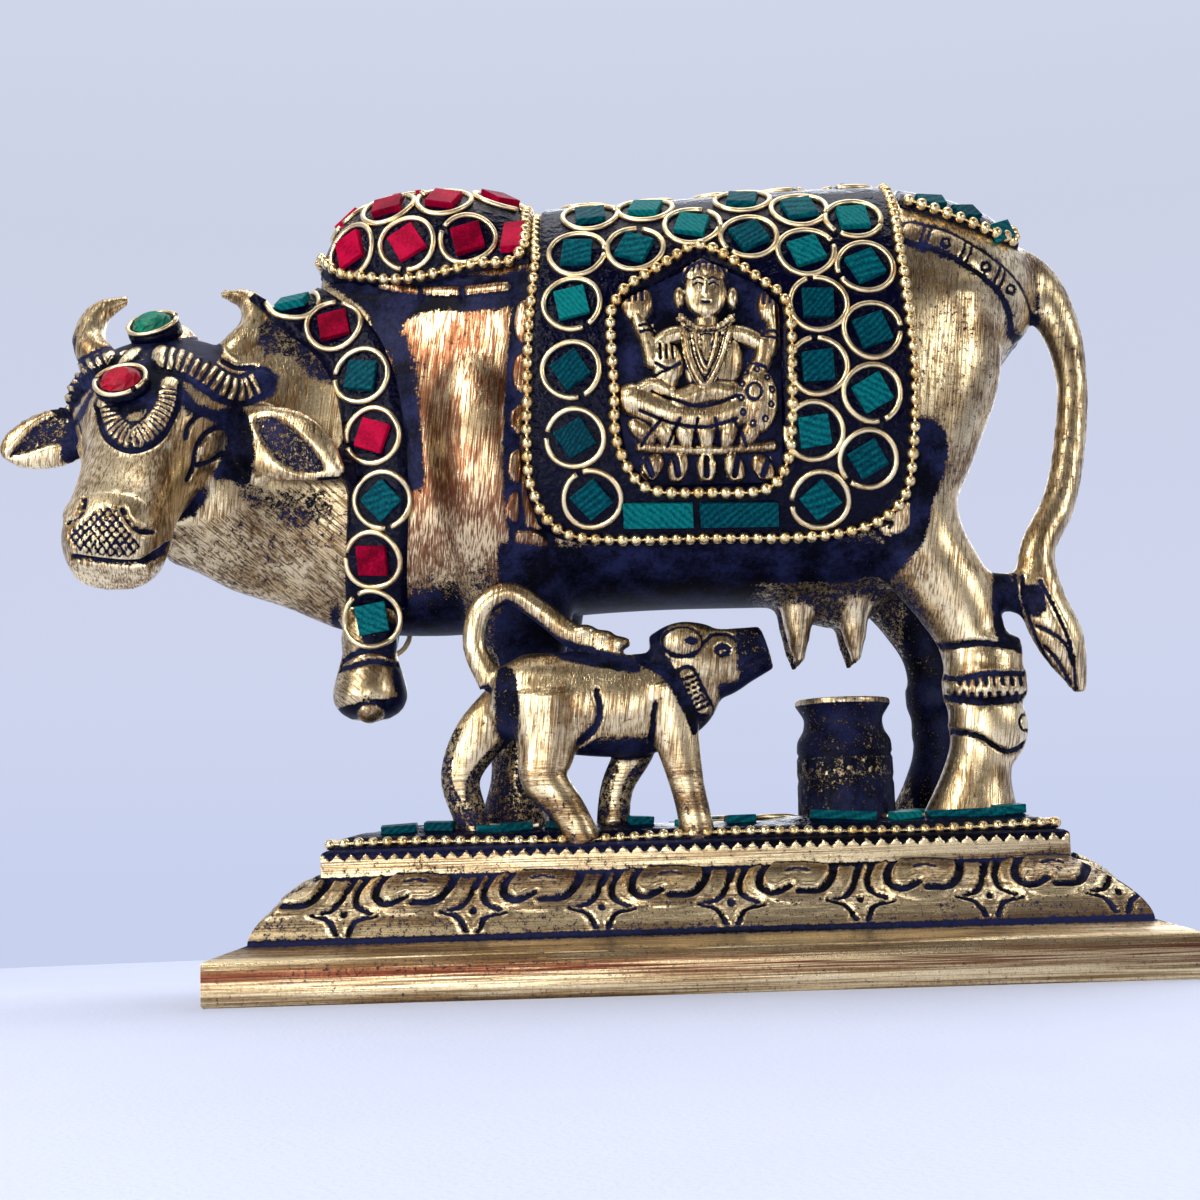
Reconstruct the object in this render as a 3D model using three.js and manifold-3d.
// A brass kamdhenu cow with her calf and milk pot on a lotus plinth, inlaid with stone chips.
// Millimetres, +Z up. The origin is the middle of the plinth's underside; the head points to -X.
import * as THREE from 'three';
import { mergeVertices } from 'three/addons/utils/BufferGeometryUtils.js';
import Module from 'manifold-3d';

const wasm = await Module();
wasm.setup();

// Driving sizes of the plinth
const PLINTH_LENGTH = 156;
const PLINTH_WIDTH = 80;
const SLAB_HEIGHT = 7.1;
const LEDGE_RISE = 2.1;
const MOULDING_HEIGHT = 9.8;
const BAND_HEIGHT = 5;
const LEDGE_WIDTH = 6.2;
const MOULDING_INSET = 9.9;
const BAND_STEP = 0.5;
const BAND_INSET = 1.8;
const BAND_ROUNDING = 1.4;
const LONG_PETAL_PITCH = 20.6;
const SHORT_PETAL_PITCH = 19.2;
const LONG_ROW_SHIFT = 5.1;
const PETAL_WIDTH = 17.5;
const PETAL_HEIGHT = 12.5;
const PETAL_RISE = 1.7;

// Driving sizes of the figures
const COW_MIDDLE_Y = 4;
const CALF_MIDDLE_Y = -15.5;
const POT_X = 28;
const POT_Y = 2;
const POT_HEIGHT = 24;
const POT_RADIUS = 8.5;
const POT_WALL = 1.2;

// Inlay: mastic beds, wire rings, stone chips and ball chains
const CLEARANCE = 0.3;
const BED_THICKNESS = 1.6;
const TOP_BED_RISE = 3;
const TOP_BED_INSET = 2.4;
const RING_DIAMETER = 10;
const RING_GAP = 0.7;
const RING_WIRE = 0.8;
const RING_BAND = 2.1 * RING_WIRE;
const CHIP_SIZE = 5;
const CHIP_THICKNESS = 1.2;
const LONG_CHIP = [12, 4.6];
const CHAIN_WIRE = 1.3;
const CABOCHON = [7.6, 6];
const CABOCHON_RISE = 2;

const MOULDING_FOOT = SLAB_HEIGHT + LEDGE_RISE;
const TOP_Z = MOULDING_FOOT + MOULDING_HEIGHT + BAND_HEIGHT;

// The stations of the figures are heights above the table on a plinth as high as this
const FIGURES_STAND_AT = 24;

const brass = new THREE.MeshStandardMaterial({ color: 0xb08a4e, roughness: 0.35, metalness: 1 });
const darkBrass = new THREE.MeshStandardMaterial({ color: 0x8a6a3c, roughness: 0.45, metalness: 1 });
const mastic = new THREE.MeshStandardMaterial({ color: 0x0b1030, roughness: 0.25, metalness: 0 });
const greenStone = new THREE.MeshStandardMaterial({ color: 0x0b6a55, roughness: 0.35, metalness: 0 });
const redStone = new THREE.MeshStandardMaterial({ color: 0xb0142c, roughness: 0.35, metalness: 0 });

const v3 = (x, y, z) => new THREE.Vector3(x, y, z);

// A closed body from a list of rings with equal counts of points, closed at both ends by a fan
function loft(rings) {
  const count = rings[0].length;
  const points = rings.flat();
  const first = rings[0].reduce((sum, p) => sum.add(p), v3(0, 0, 0)).divideScalar(count);
  const last = rings.at(-1).reduce((sum, p) => sum.add(p), v3(0, 0, 0)).divideScalar(count);
  const firstIndex = points.push(first) - 1;
  const lastIndex = points.push(last) - 1;
  const index = [];
  for (let j = 0; j < rings.length - 1; j += 1) {
    for (let i = 0; i < count; i += 1) {
      const a = j * count + i;
      const b = j * count + ((i + 1) % count);
      index.push(a, b, b + count, a, b + count, a + count);
    }
  }
  const end = (rings.length - 1) * count;
  for (let i = 0; i < count; i += 1) {
    const k = (i + 1) % count;
    index.push(firstIndex, k, i, lastIndex, end + i, end + k);
  }
  const geometry = new THREE.BufferGeometry().setFromPoints(points);
  geometry.setIndex(index);
  return geometry;
}

function signedVolume(geometry) {
  const position = geometry.getAttribute('position');
  const index = geometry.getIndex().array;
  const [a, b, c] = [v3(0, 0, 0), v3(0, 0, 0), v3(0, 0, 0)];
  let volume = 0;
  for (let i = 0; i < index.length; i += 3) {
    a.fromBufferAttribute(position, index[i]);
    b.fromBufferAttribute(position, index[i + 1]);
    c.fromBufferAttribute(position, index[i + 2]);
    volume += a.dot(b.cross(c)) / 6;
  }
  return volume;
}

// A three.js geometry as a solid that can be joined and cut
function solid(source) {
  let geometry = source.clone();
  geometry.deleteAttribute('normal');
  geometry.deleteAttribute('uv');
  geometry = mergeVertices(geometry, 1e-4);
  const triangles = Uint32Array.from(geometry.getIndex().array);
  if (signedVolume(geometry) < 0) {
    for (let i = 0; i < triangles.length; i += 3) {
      [triangles[i], triangles[i + 1]] = [triangles[i + 1], triangles[i]];
    }
  }
  const vertices = Float32Array.from(geometry.getAttribute('position').array);
  return new wasm.Manifold(new wasm.Mesh({ numProp: 3, vertProperties: vertices, triVerts: triangles }));
}

const join = (pieces) => pieces.reduce((whole, piece) => whole.add(piece));

function toGeometry(body) {
  const mesh = body.getMesh();
  const geometry = new THREE.BufferGeometry();
  geometry.setAttribute('position', new THREE.BufferAttribute(mesh.vertProperties, 3));
  geometry.setIndex(new THREE.BufferAttribute(mesh.triVerts, 1));
  geometry.computeVertexNormals();
  return geometry;
}

// The largest body of a solid, without crumbs that a cut may leave
function mainBody(body) {
  const bodies = body.decompose();
  return bodies.reduce((a, b) => (b.volume() > a.volume() ? b : a));
}

// A limb is a smooth tube through stations [x, y, z, side radius, other radius].
// The side radius is measured along `side`; `grow` swells the limb evenly, its ends too.
// Sections stand square to the path, or square to `along` where that is given.
function limb(stations, { steps, sides, side = v3(0, 1, 0), grow = 0, power = 2, along = null }) {
  const centres = new THREE.CatmullRomCurve3(stations.map(([x, y, z]) => v3(x, y, z)), false, 'centripetal');
  const radii = new THREE.CatmullRomCurve3(stations.map((s) => v3(s[3], s[4], 0)), false, 'catmullrom');
  const rings = [];
  for (let j = 0; j <= steps; j += 1) {
    const t = j / steps;
    const tangent = along ?? centres.getTangent(t);
    const across = side.clone().addScaledVector(tangent, -side.dot(tangent)).normalize();
    const up = tangent.clone().cross(across).normalize();
    const radius = radii.getPoint(t);
    const centre = centres.getPoint(t);
    if (j === 0) centre.addScaledVector(tangent, -grow);
    if (j === steps) centre.addScaledVector(tangent, grow);
    const ring = [];
    for (let i = 0; i < sides; i += 1) {
      const angle = ((i + 0.5) / sides) * 2 * Math.PI;
      const [c, s] = [Math.cos(angle), Math.sin(angle)];
      const fullness = (Math.abs(c) ** power + Math.abs(s) ** power) ** (-1 / power);
      const point = centre.clone().addScaledVector(across, c * fullness * (radius.x + grow));
      ring.push(point.addScaledVector(up, s * fullness * (radius.y + grow)));
    }
    rings.push(ring);
  }
  return solid(loft(rings));
}

// A lump is an ellipsoid with few sides
function lump([x, y, z], [rx, ry, rz], grow = 0, detail = [10, 7]) {
  const geometry = new THREE.SphereGeometry(1, ...detail);
  geometry.scale(rx + grow, ry + grow, rz + grow).translate(x, y, z);
  return solid(geometry);
}

// The cow's casting, swollen by `grow` where beds are laid on it
const MID = COW_MIDDLE_Y;
const NEAR_HIND_Y = MID - 11.5;
const FAR_HIND_Y = MID + 11.5;
const NEAR_FORE_Y = MID - 4.5;
const FAR_FORE_Y = MID + 9;

function trunk(grow) {
  return limb([
    [66, MID, 122, 4, 5], [62.5, MID, 121, 10, 9.5], [57, MID, 119, 16, 15.5], [50, MID, 113, 20.5, 24.5],
    [41, MID, 104, 23.6, 35.6], [30, MID, 102.6, 25, 37.2], [14, MID, 102.3, 25.6, 37],
    [-4, MID, 101.8, 25.5, 36.4], [-22, MID, 101, 24, 36.5], [-38, MID, 99, 20.5, 37],
    [-50, MID - 0.5, 96.5, 16, 34.5], [-60, MID - 2, 94.5, 12, 31.5], [-70, MID - 5, 94, 10.5, 27],
    [-79, MID - 8, 91.8, 10.5, 21.8], [-86, MID - 10, 91.8, 9.5, 18.2],
    [-90, MID - 10.5, 90.6, 7, 15.6],
  ], { steps: 17, sides: 14, grow, power: 2.15, along: v3(-1, 0, 0) });
}

function hump(grow) {
  return limb([
    [-62, MID, 122, 5, 5], [-53, MID, 126, 12, 13], [-43, MID, 128.5, 14.5, 13.6],
    [-32, MID, 128, 14.5, 12.6], [-24, MID, 126, 10, 9],
  ], { steps: 6, sides: 10, grow });
}

// A hind leg from thigh to hoof with two anklets, `shift` moves the shank along X
function hindLeg(y, outward, shift, grow) {
  const leg = limb([
    [47, y - 3 * outward, 119, 7, 9], [46, y, 106, 10.5, 11.5], [42.5, y, 93, 10.5, 10.4],
    [39.8, y, 82, 9.5, 8.8], [41.5 + shift, y, 74, 8, 8.3], [46.8 + shift, y, 65, 6.5, 7.3],
    [50 + shift, y, 57, 5.6, 6], [51 + shift, y, 47, 5.4, 6], [51.8 + shift, y, 41.5, 5.6, 7],
    [50 + shift, y, 35.5, 5.2, 5.6], [48 + shift, y, 24, 7, 9.2],
  ], { steps: 12, sides: 8, grow });
  const anklets = [[57.2, 52.2, 6.8], [51, 46.8, 7.4]].map(([top, bottom, radius]) => limb([
    [51.6 + shift, y, top, radius - 0.8, radius], [51.8 + shift, y, bottom, radius - 0.8, radius],
  ], { steps: 1, sides: 8, grow }));
  return join([leg, ...anklets]);
}

function foreLeg(y, outward, shift, grow) {
  return limb([
    [-34 + shift, y - 8 * outward, 112, 7, 8], [-33 + shift, y - 10 * outward, 96, 10, 11],
    [-31 + shift, y - 8 * outward, 80, 10, 11], [-28.5 + shift, y - 3 * outward, 66, 7.4, 9.6],
    [-28 + shift, y, 56, 5.4, 7], [-29.5 + shift, y, 46, 4.8, 5.6], [-29.5 + shift, y, 36, 4.4, 5],
    [-31 + shift, y, 24, 5.6, 7],
  ], { steps: 9, sides: 7, grow });
}

function tail(grow) {
  return limb([
    [59, MID, 127, 5, 5], [66, MID, 123.5, 4, 4.8], [70.6, MID - 0.5, 115.5, 3.2, 3.8],
    [72.2, MID - 1.5, 105.5, 2.9, 2.9], [71, MID - 3, 94, 2.9, 3], [67.8, MID - 5.5, 82, 2.9, 3.1],
    [62.8, MID - 8, 72.5, 3, 3.2], [63, MID - 9, 64, 3.3, 4.2], [66, MID - 9.5, 56, 2.8, 4.2],
    [68.9, MID - 9.5, 47.5, 1, 1.2],
  ], { steps: 12, sides: 6, grow });
}

// The head has its own frame: u sideways, v out of the forehead, w from the poll to the muzzle
const HEAD_TURN = THREE.MathUtils.degToRad(8);
const HEAD_DROOP = THREE.MathUtils.degToRad(52);
const POLL = v3(-90, -6, 112);
const facing = v3(-Math.sin(HEAD_TURN), -Math.cos(HEAD_TURN), 0);
const down = v3(0, 0, -1);
const headU = v3(Math.cos(HEAD_TURN), -Math.sin(HEAD_TURN), 0);
const headW = facing.clone().multiplyScalar(Math.cos(HEAD_DROOP))
  .addScaledVector(down, Math.sin(HEAD_DROOP));
const headV = facing.clone().multiplyScalar(Math.sin(HEAD_DROOP))
  .addScaledVector(down, -Math.cos(HEAD_DROOP));
const onHead = (u, v, w) => POLL.clone().addScaledVector(headU, u).addScaledVector(headV, v)
  .addScaledVector(headW, w);
const headStation = ([u, v, w, a, b]) => [...onHead(u, v, w).toArray(), a, b];

function head(grow) {
  const skull = limb([
    [0, -6, -4, 8, 6], [0, -5, 3, 14, 10], [0, -4.5, 11, 15.2, 11.6], [0, -4, 19, 12.6, 11.2],
    [0, -3.4, 27, 9.2, 9.6], [0, -3, 35, 8, 8.6], [0, -3, 41, 8.2, 8.4], [0, -3.4, 46.5, 8, 7.8],
    [0, -3.8, 50, 6.6, 6],
  ].map(headStation), { steps: 12, sides: 10, side: headU, grow, power: 2.6 });
  const crest = limb([[0, -1, -4.4, 5, 5.6], [0, -0.6, 1, 5.8, 5.6], [0, -1.4, 7, 5, 5.8]].map(headStation),
    { steps: 3, sides: 8, side: headU, grow, power: 3 });
  const horns = [-1, 1].map((s) => limb([
    [s * 8.5, -3, 3, 3.4, 3.4], [s * 13, -0.5, -1, 3.4, 3.4], [s * 15.6, 1, -5.5, 3, 3],
    [s * 14, 3, -10.5, 2.3, 2.3],
    [s * 8.5, 4, -12.5, 1, 1],
  ].map(headStation), { steps: 6, sides: 6, side: headV, grow }));
  const ears = [[
    [12, -6, 11, 2.6, 3.4], [15.5, -6.2, 14.2, 2.4, 5], [20.5, -6.2, 17.2, 2.1, 6.3],
    [25.5, -6.8, 19.3, 1.9, 6.2], [29.9, -8.5, 21.2, 1.6, 4.2], [33.4, -10.1, 22.9, 1, 1.2],
  ], [
    [-12, -6, 10, 2.6, 3.4], [-15, -6, 12, 2.4, 4.6], [-19, -6, 13.4, 2.1, 5.4], [-23, -6, 14.8, 1.9, 5],
    [-26.5, -6, 16, 1.5, 3.4], [-28.4, -6, 17, 1, 1.1],
  ]].map((stations) => limb(stations.map(headStation), { steps: 7, sides: 6, side: facing, grow }));
  return join([skull, crest, ...horns, ...ears]);
}

function udderAndBell(grow) {
  const udder = lump([28, MID, 69], [10, 9, 8], grow, [8, 5]);
  const teats = [[20.5, -4], [30.5, -4], [20.5, 5], [30.5, 5]].map(([x, dy]) => limb([
    [x, MID + dy, 66, 3.2, 3.2], [x, MID + dy, 59.5, 2.3, 2.3], [x, MID + dy, 54, 0.9, 0.9],
  ], { steps: 3, sides: 5, grow }));
  const bell = limb([
    [-54, MID - 3, 64.5, 4, 4], [-54, MID - 5, 60, 4.2, 4.2], [-54, MID - 6, 56, 5.6, 5.6],
    [-54, MID - 6.5, 50.5, 6.4, 6.4], [-54, MID - 6.5, 46.5, 5.6, 5.6],
  ], { steps: 6, sides: 8, grow });
  return join([udder, ...teats, bell]);
}

// What the cloths and the garland lie on
function torsoForm(grow) {
  return join([
    trunk(grow), hump(grow), hindLeg(NEAR_HIND_Y, 1, 0, grow), hindLeg(FAR_HIND_Y, -1, -3, grow),
    foreLeg(NEAR_FORE_Y, 1, 0, grow), foreLeg(FAR_FORE_Y, -1, 1.5, grow),
  ]);
}

function cowForm(grow) {
  const hockWeb = limb([
    [51, NEAR_HIND_Y, 66, 3, 3], [62, MID - 8.5, 65, 2.4, 4],
  ], { steps: 1, sides: 6, grow });
  return join([torsoForm(grow), tail(grow), head(grow), udderAndBell(grow), hockWeb]);
}

// Finds where a line meets a body, and the way its surface faces there
const raycaster = new THREE.Raycaster();
const FAR_OUT = 80;
function surfaceOf(body) {
  const skin = new THREE.Mesh(toGeometry(body), brass);
  return (through, way) => {
    raycaster.set(through.clone().addScaledVector(way, -FAR_OUT), way);
    const [hit] = raycaster.intersectObject(skin);
    return { point: hit.point, normal: hit.face.normal.clone() };
  };
}
const nearSide = (surface) => (x, z) => surface(v3(x, 0, z), v3(0, 1, 0));

// A level seat for a flat piece that reaches this far round a spot: its slope is the mean of the
// surface there, and it lies on the highest point
function seat(surface, x, z, reach) {
  const { point } = surface(x, z);
  const round = (radius) => Array.from({ length: 12 }, (_, i) => {
    const angle = (i / 12) * 2 * Math.PI;
    return surface(x + radius * Math.cos(angle), z + radius * Math.sin(angle)).point.sub(point);
  });
  const rim = round(reach);
  const normal = v3(0, 0, 0);
  rim.forEach((p, i) => normal.add(p.clone().cross(rim[(i + 1) % rim.length])));
  normal.normalize();
  const discs = [0.3, 0.6, 1].flatMap((share) => round(reach * share));
  const rise = Math.max(0, ...discs.map((p) => p.dot(normal)));
  return { point: point.addScaledVector(normal, rise), normal };
}

// The seated deity of the saddle panel, in low relief: [x, height, half width, half height, depth]
const DEITY = [
  [5, 117.2, 3.3, 3.8, 2.6], [5, 121, 2.6, 1.6, 2.2], [5, 107.5, 4.8, 6.2, 2.4], [5, 101, 4, 3.6, 2.4],
  [-1.6, 109, 2.2, 3.4, 1.8], [11.6, 109, 2.2, 3.4, 1.8], [-6, 113.4, 2.2, 3, 1.8],
  [16, 113, 2.2, 3, 1.8], [-4.4, 104, 3, 2.8, 2], [13.4, 99.4, 4, 4, 2.2], [5, 95.8, 11.4, 3.2, 2.6],
];
const LOTUS_TIERS = [[91.6, 7, 12, 2.6], [86.4, 6, 10.5, 2.6]];

function deityRelief(surface, grow) {
  const petals = LOTUS_TIERS.flatMap(([z, count, reach, half]) => Array.from({ length: count }, (_, i) => {
    const x = 4 + reach * (2 * (i + 0.5) / count - 1);
    return [x, z, reach / count + 0.5, half, 1.9];
  }));
  const carve = (detail) => ([x, z, rx, rz, depth]) => {
    const { point } = surface(x, z);
    return lump([x, point.y + 0.3, z], [rx, depth, rz], grow, detail);
  };
  return [...DEITY.map(carve([6, 4])), ...petals.map(carve([5, 3]))];
}

// The calf, its head stretched up to the udder
function calfForm(grow) {
  const y = CALF_MIDDLE_Y;
  const near = y - 3.6;
  const far = y + 3.4;
  const back = limb([
    [-33, y, 50, 3, 4], [-29, y, 49, 5.6, 7.2], [-20, y, 47.5, 6.6, 8.6], [-8, y, 47, 6.6, 8.6],
    [-2, y, 49, 5.8, 7.8], [2, y, 52, 4.8, 5.8],
  ], { steps: 9, sides: 8, grow });
  const skull = limb([
    [-6, y, 54, 4, 4.5], [-1, y, 54.4, 5.4, 6.4], [4.5, y, 53.6, 5, 6.2], [9.5, y, 54.8, 4, 4.8],
    [13.6, y, 56, 3.2, 3.8],
  ], { steps: 6, sides: 8, grow });
  const tailLoop = limb([
    [-33, y, 51, 2, 2.4], [-36, y, 58, 1.7, 2], [-34.6, y, 64, 1.7, 2], [-30, y, 66.6, 1.7, 2],
    [-24.5, y, 63.2, 1.7, 2], [-18.5, y, 58.5, 2, 2.2], [-11, y, 56, 2.2, 2.2],
  ], { steps: 11, sides: 6, grow });
  const legs = [
    [[-24, near, 49, 4, 6.6], [-24, near, 40, 3.4, 5], [-24.6, near - 0.4, 35, 2.8, 4],
      [-20.5, near - 1, 29, 2.5, 3], [-17.8, near - 1.4, 22, 2.6, 2.8]],
    [[-30, far, 48, 4, 5], [-36, far, 42, 3.2, 4.4], [-39, far, 35.5, 2.6, 3.4],
      [-37.5, far, 29, 2.4, 3], [-36.5, far, 22, 2.6, 3]],
    [[-4, near, 50, 3.6, 5], [-2.5, near, 42, 3, 4], [-1, near, 34, 2.6, 3], [0, near, 29, 2.6, 2.8],
      [0.8, near, 22, 2.8, 3.1]],
    [[-7, far, 48, 3.4, 4.4], [-9, far, 40, 2.8, 3.4], [-12.5, far, 33, 2.5, 2.8],
      [-13.5, far, 22, 2.7, 3]],
  ].map((stations) => limb(stations, { steps: 5, sides: 6, grow }));
  const ear = lump([-1.2, y - 5.4, 57], [3.6, 1.3, 2.8], grow, [7, 4]);
  return join([back, skull, tailLoop, ear, ...legs]);
}

// The pot is a thin wall with a floor and a flat lip: [share of the radius, share of the height]
const POT_OUTLINE = [
  [0.9, 0], [1, 0.08], [1, 0.66], [0.96, 0.72], [0.8, 0.8], [0.82, 0.88], [0.98, 0.96], [0.98, 1],
];

function potForm(grow, hollow) {
  const outer = POT_OUTLINE.map(([r, z]) => [r * POT_RADIUS + grow, FIGURES_STAND_AT + z * POT_HEIGHT]);
  const inner = outer.slice(1).reverse().map(([r, z]) => [r - POT_WALL, z]);
  inner[inner.length - 1][1] = FIGURES_STAND_AT + POT_WALL;
  const foot = [0, FIGURES_STAND_AT];
  const profile = hollow
    ? [foot, ...outer, ...inner, [0, FIGURES_STAND_AT + POT_WALL]]
    : [foot, ...outer, [0, FIGURES_STAND_AT + POT_HEIGHT]];
  const lathe = new THREE.LatheGeometry(profile.map(([r, z]) => new THREE.Vector2(r, z)), 12);
  lathe.rotateX(Math.PI / 2).translate(POT_X, POT_Y, 0);
  return solid(lathe);
}

// The plinth: rectangular tiers, each ring given by its inset from the slab's edge and its height
function rectangleRing(inset, z) {
  const [x, y] = [PLINTH_LENGTH / 2 - inset, PLINTH_WIDTH / 2 - inset];
  return [v3(-x, -y, z), v3(x, -y, z), v3(x, y, z), v3(-x, y, z)];
}

const SLAB_CHAMFER = 0.4;
const BAND_FOOT = LEDGE_WIDTH + MOULDING_INSET + BAND_STEP;
const mouldingInset = (share) => LEDGE_WIDTH + MOULDING_INSET * share ** 1.75;
const mouldingHeight = (share) => MOULDING_FOOT + MOULDING_HEIGHT * share;

// Petals on both long or both short sides: as many as fit, their row shifted along the side
function petalRow(length, half, pitch, shift) {
  const share = 0.5;
  const inset = mouldingInset(share);
  const slope = Math.atan2(MOULDING_HEIGHT, MOULDING_INSET);
  const count = Math.floor((length - shift) / pitch);
  const width = Math.min(PETAL_WIDTH, pitch - 2);
  return [-1, 1].flatMap((side) => Array.from({ length: count }, (_, i) => {
    const geometry = new THREE.SphereGeometry(1, 7, 4);
    geometry.scale(width / 2, PETAL_RISE, PETAL_HEIGHT / 2);
    geometry.rotateX(slope - Math.PI / 2);
    geometry.translate((i + 0.5 - count / 2) * pitch + shift, inset - half, mouldingHeight(share));
    if (side > 0) geometry.rotateZ(Math.PI);
    return geometry;
  }));
}

function plinthForm() {
  const rings = [rectangleRing(0, 0), rectangleRing(0, SLAB_HEIGHT - SLAB_CHAMFER)];
  rings.push(rectangleRing(SLAB_CHAMFER, SLAB_HEIGHT), rectangleRing(LEDGE_WIDTH, MOULDING_FOOT));
  for (let i = 1; i <= 6; i += 1) rings.push(rectangleRing(mouldingInset(i / 6), mouldingHeight(i / 6)));
  rings.push(rectangleRing(BAND_FOOT, mouldingHeight(1) + 0.1));
  rings.push(rectangleRing(BAND_FOOT, TOP_Z - BAND_ROUNDING));
  rings.push(rectangleRing(BAND_FOOT + BAND_INSET * 0.7, TOP_Z - BAND_ROUNDING / 5));
  rings.push(rectangleRing(BAND_FOOT + BAND_INSET, TOP_Z));
  const longRun = PLINTH_LENGTH - 2 * (LEDGE_WIDTH + MOULDING_INSET / 2);
  const shortRun = PLINTH_WIDTH - 2 * (LEDGE_WIDTH + MOULDING_INSET / 2);
  const petals = [
    ...petalRow(longRun, PLINTH_WIDTH / 2, LONG_PETAL_PITCH, LONG_ROW_SHIFT),
    ...petalRow(shortRun, PLINTH_LENGTH / 2, SHORT_PETAL_PITCH, 0).map((g) => g.rotateZ(Math.PI / 2)),
  ];
  return join([solid(loft(rings)), ...petals.map(solid)]);
}

// A block through the cow from side to side, with an outline of [x, height] points
const BEYOND_COW = 60;
function regionBlock(outline, nearest = -BEYOND_COW, farthest = BEYOND_COW) {
  const shape = new THREE.Shape(outline.map(([x, z]) => new THREE.Vector2(x, z)));
  const block = new THREE.ExtrudeGeometry(shape, { depth: farthest - nearest, bevelEnabled: false });
  return solid(block.rotateX(Math.PI / 2).translate(0, farthest, 0));
}

const SADDLE = [
  [-22.6, 150], [-23.8, 124], [-26, 103], [-26.7, 91], [-26.4, 83], [-24.6, 78], [-21, 75.6], [-14, 74.4],
  [25, 74], [34.4, 76], [39, 80], [40.6, 90], [41.2, 104], [40.4, 116], [39.8, 127], [39.6, 150],
];
const SHRINE = [
  [4.6, 122.4], [-10.2, 115], [-10.4, 98], [-8.8, 88], [-5, 84], [16, 84], [17, 87], [17.4, 114],
  [14, 118], [9, 120.6],
];
const HUMP_CLOTH = [
  [-66, 129.6], [-61, 125.2], [-52.5, 123], [-44, 122.4], [-34, 123.6], [-25, 124.2], [-25, 150], [-66, 150],
];
const RUMP_CLOTH = [[41.4, 133.8], [50, 130.4], [58, 127.6], [62.6, 127], [62.6, 150], [41.4, 150]];
const GARLAND_LINE = [
  [-72, 126], [-65, 119.5], [-58, 113], [-54.4, 105], [-52.8, 95], [-52.4, 84], [-53.2, 73], [-53.6, 66],
];
const GARLAND_HALF_WIDTH = 5.6;

function garlandOutline() {
  const line = GARLAND_LINE.map(([x, z]) => new THREE.Vector2(x, z));
  const offset = (sign) => line.map((p, i) => {
    const along = line[Math.min(i + 1, line.length - 1)].clone().sub(line[Math.max(i - 1, 0)]).normalize();
    return [p.x - sign * along.y * GARLAND_HALF_WIDTH, p.y + sign * along.x * GARLAND_HALF_WIDTH];
  });
  return [...offset(1), ...offset(-1).reverse()];
}

// The mound of mastic on the plinth's top, with holes where the feet and the pot stand
function topBed() {
  const z = FIGURES_STAND_AT + CLEARANCE;
  const inset = BAND_FOOT + BAND_INSET + TOP_BED_INSET;
  const half = [PLINTH_LENGTH / 2 - inset, PLINTH_WIDTH / 2 - inset];
  const rings = [[0, 0], [0.2, 0.4], [1.6, 0.8], [5, 1]].map(([inset, share]) => {
    const [x, y] = [half[0] - inset, half[1] - inset];
    const height = z + share * TOP_BED_RISE;
    return [v3(-x, -y, height), v3(x, -y, height), v3(x, y, height), v3(-x, y, height)];
  });
  return solid(loft(rings));
}

function mesh(name, body, material) {
  const piece = new THREE.Mesh(toGeometry(body), material);
  piece.name = name;
  return piece;
}

// Turns a flat piece, made in XY and facing +Z, to lie on the surface at a spot
function layOn(piece, { point, normal }, angle, lift) {
  const up = v3(0, 0, 1).addScaledVector(normal, -normal.z).normalize();
  const across = up.clone().cross(normal);
  piece.quaternion.setFromRotationMatrix(new THREE.Matrix4().makeBasis(across, up, normal));
  piece.rotateZ(angle);
  piece.position.copy(point).addScaledVector(normal, lift);
  return piece;
}

// A ring of wire with a flat foot, RING_BAND wide
function wireRing(width, height, wire) {
  const [outer, inner] = [1, 1 - (2 * RING_BAND) / (width + height)];
  const ridge = [[inner, 0], [outer, 0], [(inner + outer) / 2, wire], [inner, 0]];
  const ring = new THREE.LatheGeometry(ridge.map(([r, y]) => new THREE.Vector2(r, y)), 8);
  return solid(ring.rotateX(Math.PI / 2).scale(width / 2, height / 2, 1));
}

function chip(width, height, thickness) {
  return solid(new THREE.BoxGeometry(width, height, thickness));
}

// A faceted oval stone
function cabochon() {
  const rings = [[0.9, 0], [1, 0.25], [0.62, 1]].map(([size, rise]) => Array.from({ length: 8 }, (_, i) => {
    const angle = (i + 0.5) * Math.PI / 4;
    return v3(Math.cos(angle) * size * CABOCHON[0] / 2, Math.sin(angle) * size * CABOCHON[1] / 2,
      rise * CABOCHON_RISE);
  }));
  return solid(loft(rings));
}

// A ball chain lying on a surface along [x, height] points
function chain(surface, outline) {
  const path = new THREE.CatmullRomCurve3(outline.map(([x, z]) => v3(x, 0, z)), false, 'centripetal');
  const steps = Math.ceil(path.getLength() / 5);
  const lift = CLEARANCE + 0.75 * CHAIN_WIRE;
  const rings = path.getSpacedPoints(steps).map((p, i) => {
    const { point, normal } = surface(p.x, p.z);
    const along = path.getTangentAt(i / steps);
    const across = along.clone().cross(normal).normalize();
    const centre = point.clone().addScaledVector(normal, lift);
    const foot = normal.clone().multiplyScalar(-CHAIN_WIRE / 2);
    across.multiplyScalar(CHAIN_WIRE / 2);
    return [centre.clone().addScaledVector(foot, -1), centre.clone().add(foot).add(across),
      centre.clone().add(foot).sub(across)];
  });
  return solid(loft(rings));
}

// The figures, and the beds cut from their swollen shapes
const statue = new THREE.Group();
const figures = new THREE.Group();
figures.position.z = TOP_Z - FIGURES_STAND_AT;
statue.add(mesh('plinth', plinthForm(), brass), figures);

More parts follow.
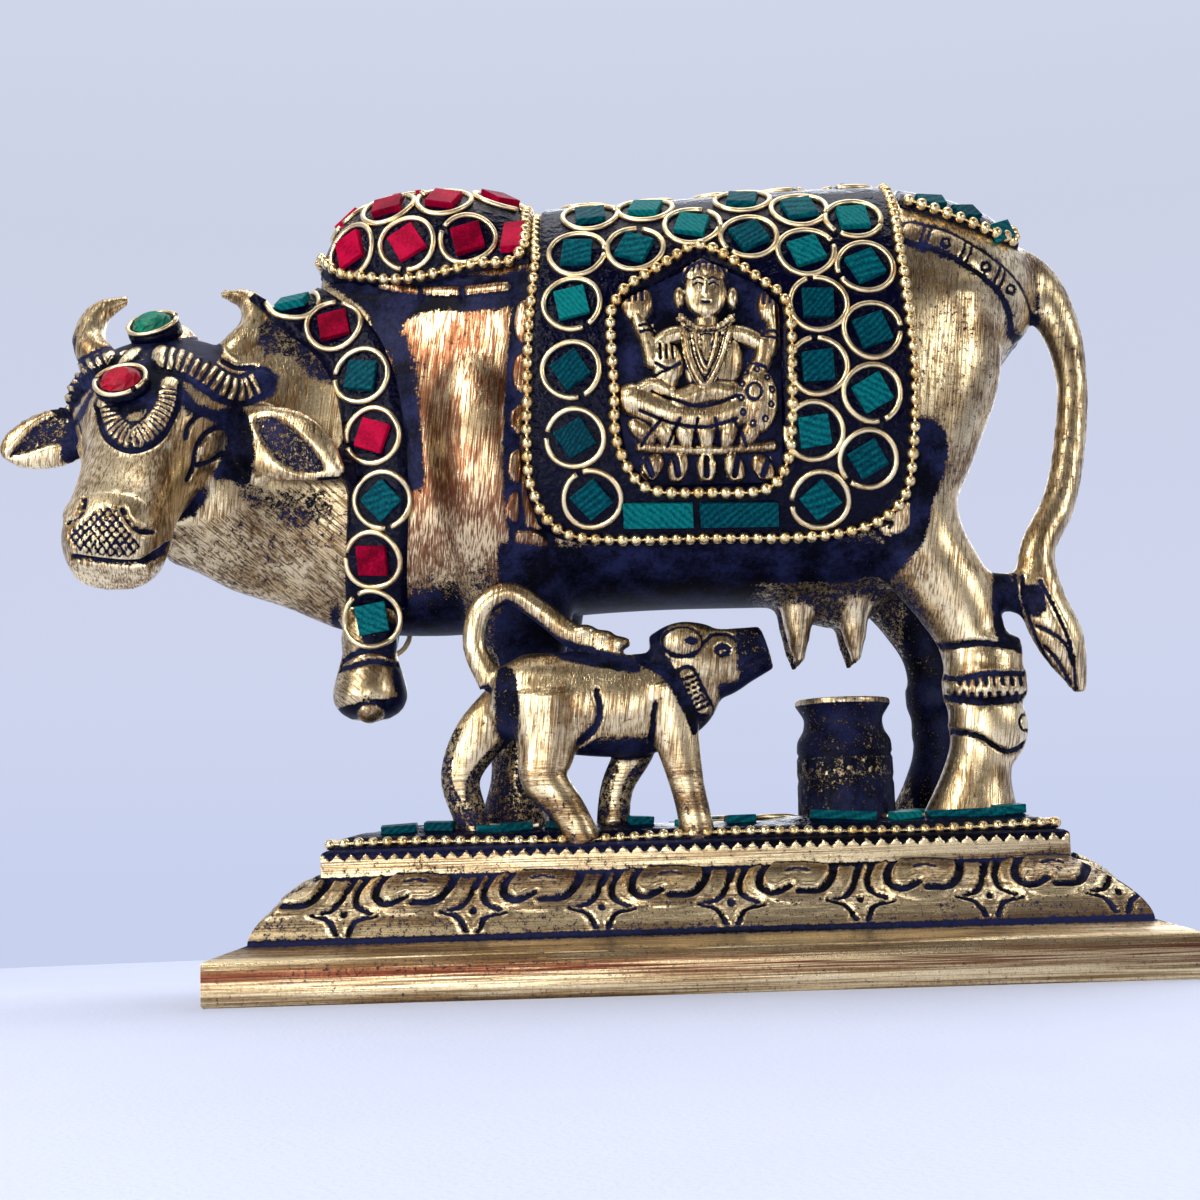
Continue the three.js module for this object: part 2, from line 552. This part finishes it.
const OPEN_AIR = 200;
const standing = solid(new THREE.BoxGeometry(2 * OPEN_AIR, 2 * OPEN_AIR, 2 * OPEN_AIR)
  .translate(0, 0, FIGURES_STAND_AT + OPEN_AIR));
const bareTorso = torsoForm(0);
const gapped = torsoForm(CLEARANCE);
const bedded = torsoForm(CLEARANCE + BED_THICKNESS);
const panelSurface = nearSide(surfaceOf(bareTorso));
const relief = deityRelief(panelSurface, 0);
const cow = mainBody(join([cowForm(0), ...relief]).intersect(standing));
const calf = mainBody(calfForm(0).intersect(standing));
figures.add(mesh('cow', cow, brass), mesh('calf', calf, brass), mesh('pot', potForm(0, true), darkBrass));

const bedShell = bedded.subtract(gapped);
const tailHole = tail(CLEARANCE);
const saddleBed = bedShell.intersect(regionBlock(SADDLE)).subtract(regionBlock(SHRINE, -BEYOND_COW, 0))
  .subtract(join(deityRelief(panelSurface, CLEARANCE)));
const humpBed = bedShell.intersect(regionBlock(HUMP_CLOTH));
const rumpBed = bedShell.intersect(regionBlock(RUMP_CLOTH)).subtract(tailHole);
const garlandBed = bedShell.intersect(regionBlock(garlandOutline())).subtract(head(CLEARANCE))
  .subtract(udderAndBell(CLEARANCE));
const feet = join([cowForm(CLEARANCE), calfForm(CLEARANCE), potForm(CLEARANCE, false)]);
figures.add(
  mesh('saddle_bed', mainBody(saddleBed), mastic),
  mesh('hump_bed', mainBody(humpBed), mastic),
  mesh('rump_bed', mainBody(rumpBed), mastic),
  mesh('garland_bed', mainBody(garlandBed), mastic),
  mesh('plinth_bed', mainBody(topBed().subtract(feet)), mastic),
);

// Chips inside wire rings: [x, height, turn in degrees, stone]
const bedSurface = nearSide(surfaceOf(bedded));
// Spots along a line of [x, height] points, so far apart that the rings keep their gap
function spacedSpots(line, start, gap, count) {
  const path = new THREE.CatmullRomCurve3(line.map(([x, z]) => v3(x, 0, z)), false, 'centripetal');
  const length = path.getLength();
  return Array.from({ length: count }, (_, i) => {
    const spot = path.getPointAt((start + i * (RING_DIAMETER + gap)) / length);
    return [spot.x, spot.z];
  });
}

const GARLAND_START = 14.6 + RING_DIAMETER / 5;
const GARLAND = spacedSpots(GARLAND_LINE, GARLAND_START, RING_GAP, 5).map(([x, z], i) => [
  x, z, [12, -8, -20, 40, -3][i], i % 2 === 0 ? redStone : greenStone,
]);

// The saddle's front column rises from its lower corner, a ring's radius inside the ball chain
const HALF_RING = RING_DIAMETER / 2;
const FRONT_COLUMN = [[-20.6, 77], [-23.4, 86.5], [-24.2, 97], [-23.9, 107], [-22.8, 118], [-22, 126]]
  .map(([x, z]) => [x + HALF_RING, z + HALF_RING]);
const SADDLE_FRONT = spacedSpots(FRONT_COLUMN, 0, 2 * RING_GAP, 4)
  .map(([x, z], i) => [x, z, [38, 30, 32, 12][i], greenStone]);
const SADDLE_REAR = [
  [23.4, 103.6, 4], [22.8, 92, 6], [23.8, 80.8, 38], [31.6, 121.4, 24], [32.8, 110.2, 20],
  [32.8, 99.4, 28], [32.2, 87.8, 30],
].map((row) => [...row, greenStone]);
const HUMP = [[-47.6, 131.6, 30], [-37, 132, 14]].map((row) => [...row, redStone]);

function inlay(name, rows, ringed) {
  rows.forEach(([x, z, turn, stone], i) => {
    const spot = seat(bedSurface, x, z, RING_DIAMETER / 2);
    const angle = THREE.MathUtils.degToRad(turn);
    const piece = mesh(`${name}_chip_${i + 1}`, chip(CHIP_SIZE, CHIP_SIZE, CHIP_THICKNESS), stone);
    figures.add(layOn(piece, spot, angle, CLEARANCE + CHIP_THICKNESS / 2));
    if (!ringed) return;
    const ring = mesh(`${name}_ring_${i + 1}`, wireRing(RING_DIAMETER, RING_DIAMETER, RING_WIRE), brass);
    figures.add(layOn(ring, spot, 0, CLEARANCE));
  });
}
inlay('garland', GARLAND, true);
inlay('saddle_front', SADDLE_FRONT, true);
inlay('saddle_rear', SADDLE_REAR, true);
inlay('hump', HUMP, true);
[[-3.6, 78.6], [10.8, 78.8]].forEach(([x, z], i) => {
  const piece = mesh(`saddle_long_chip_${i + 1}`, chip(...LONG_CHIP, CHIP_THICKNESS), greenStone);
  const spot = seat(bedSurface, x, z, LONG_CHIP[1] / 2);
  figures.add(layOn(piece, spot, 0, CLEARANCE + CHIP_THICKNESS / 2));
});

// Ball chains along the borders
const chains = {
  saddle_chain: [[-22, 134], [-23.3, 124], [-25, 108], [-25.6, 92], [-25.4, 85], [-23.6, 79.6],
    [-20, 76.6], [-14, 75.5], [25, 75.1], [33.6, 77.2], [37.8, 81], [39.4, 90], [40, 104], [39.3, 116],
    [38.7, 127], [38.4, 135]],
  hump_chain: [[-60, 127.4], [-52.3, 124.4], [-44, 123.8], [-34, 125], [-26.4, 125.5]],
  rump_chain: [[43, 134.6], [50, 131.8], [57, 129.2]],
};
Object.entries(chains).forEach(([name, line]) => {
  figures.add(mesh(name, chain(bedSurface, line), brass));
});

// The two oval stones on the forehead, each in a bezel ring on its bed
const headSurface = surfaceOf(head(0));
[['green', -1, -1.1, greenStone], ['red', -1.8, 17.2, redStone]].forEach(([name, u, w, stone]) => {
  const spot = headSurface(onHead(u, 0, w), headV.clone().negate());
  const bed = chip(CABOCHON[0] + 2, CABOCHON[1] + 2, BED_THICKNESS);
  figures.add(layOn(mesh(`${name}_cabochon_bed`, bed, mastic), spot, 0, CLEARANCE + BED_THICKNESS / 2));
  const lift = 2 * CLEARANCE + BED_THICKNESS;
  figures.add(layOn(mesh(`${name}_cabochon`, cabochon(), stone), spot, 0, lift));
  const ring = wireRing(CABOCHON[0] + 3, CABOCHON[1] + 3, RING_WIRE);
  figures.add(layOn(mesh(`${name}_cabochon_ring`, ring, brass), spot, 0, lift));
});

export default statue;
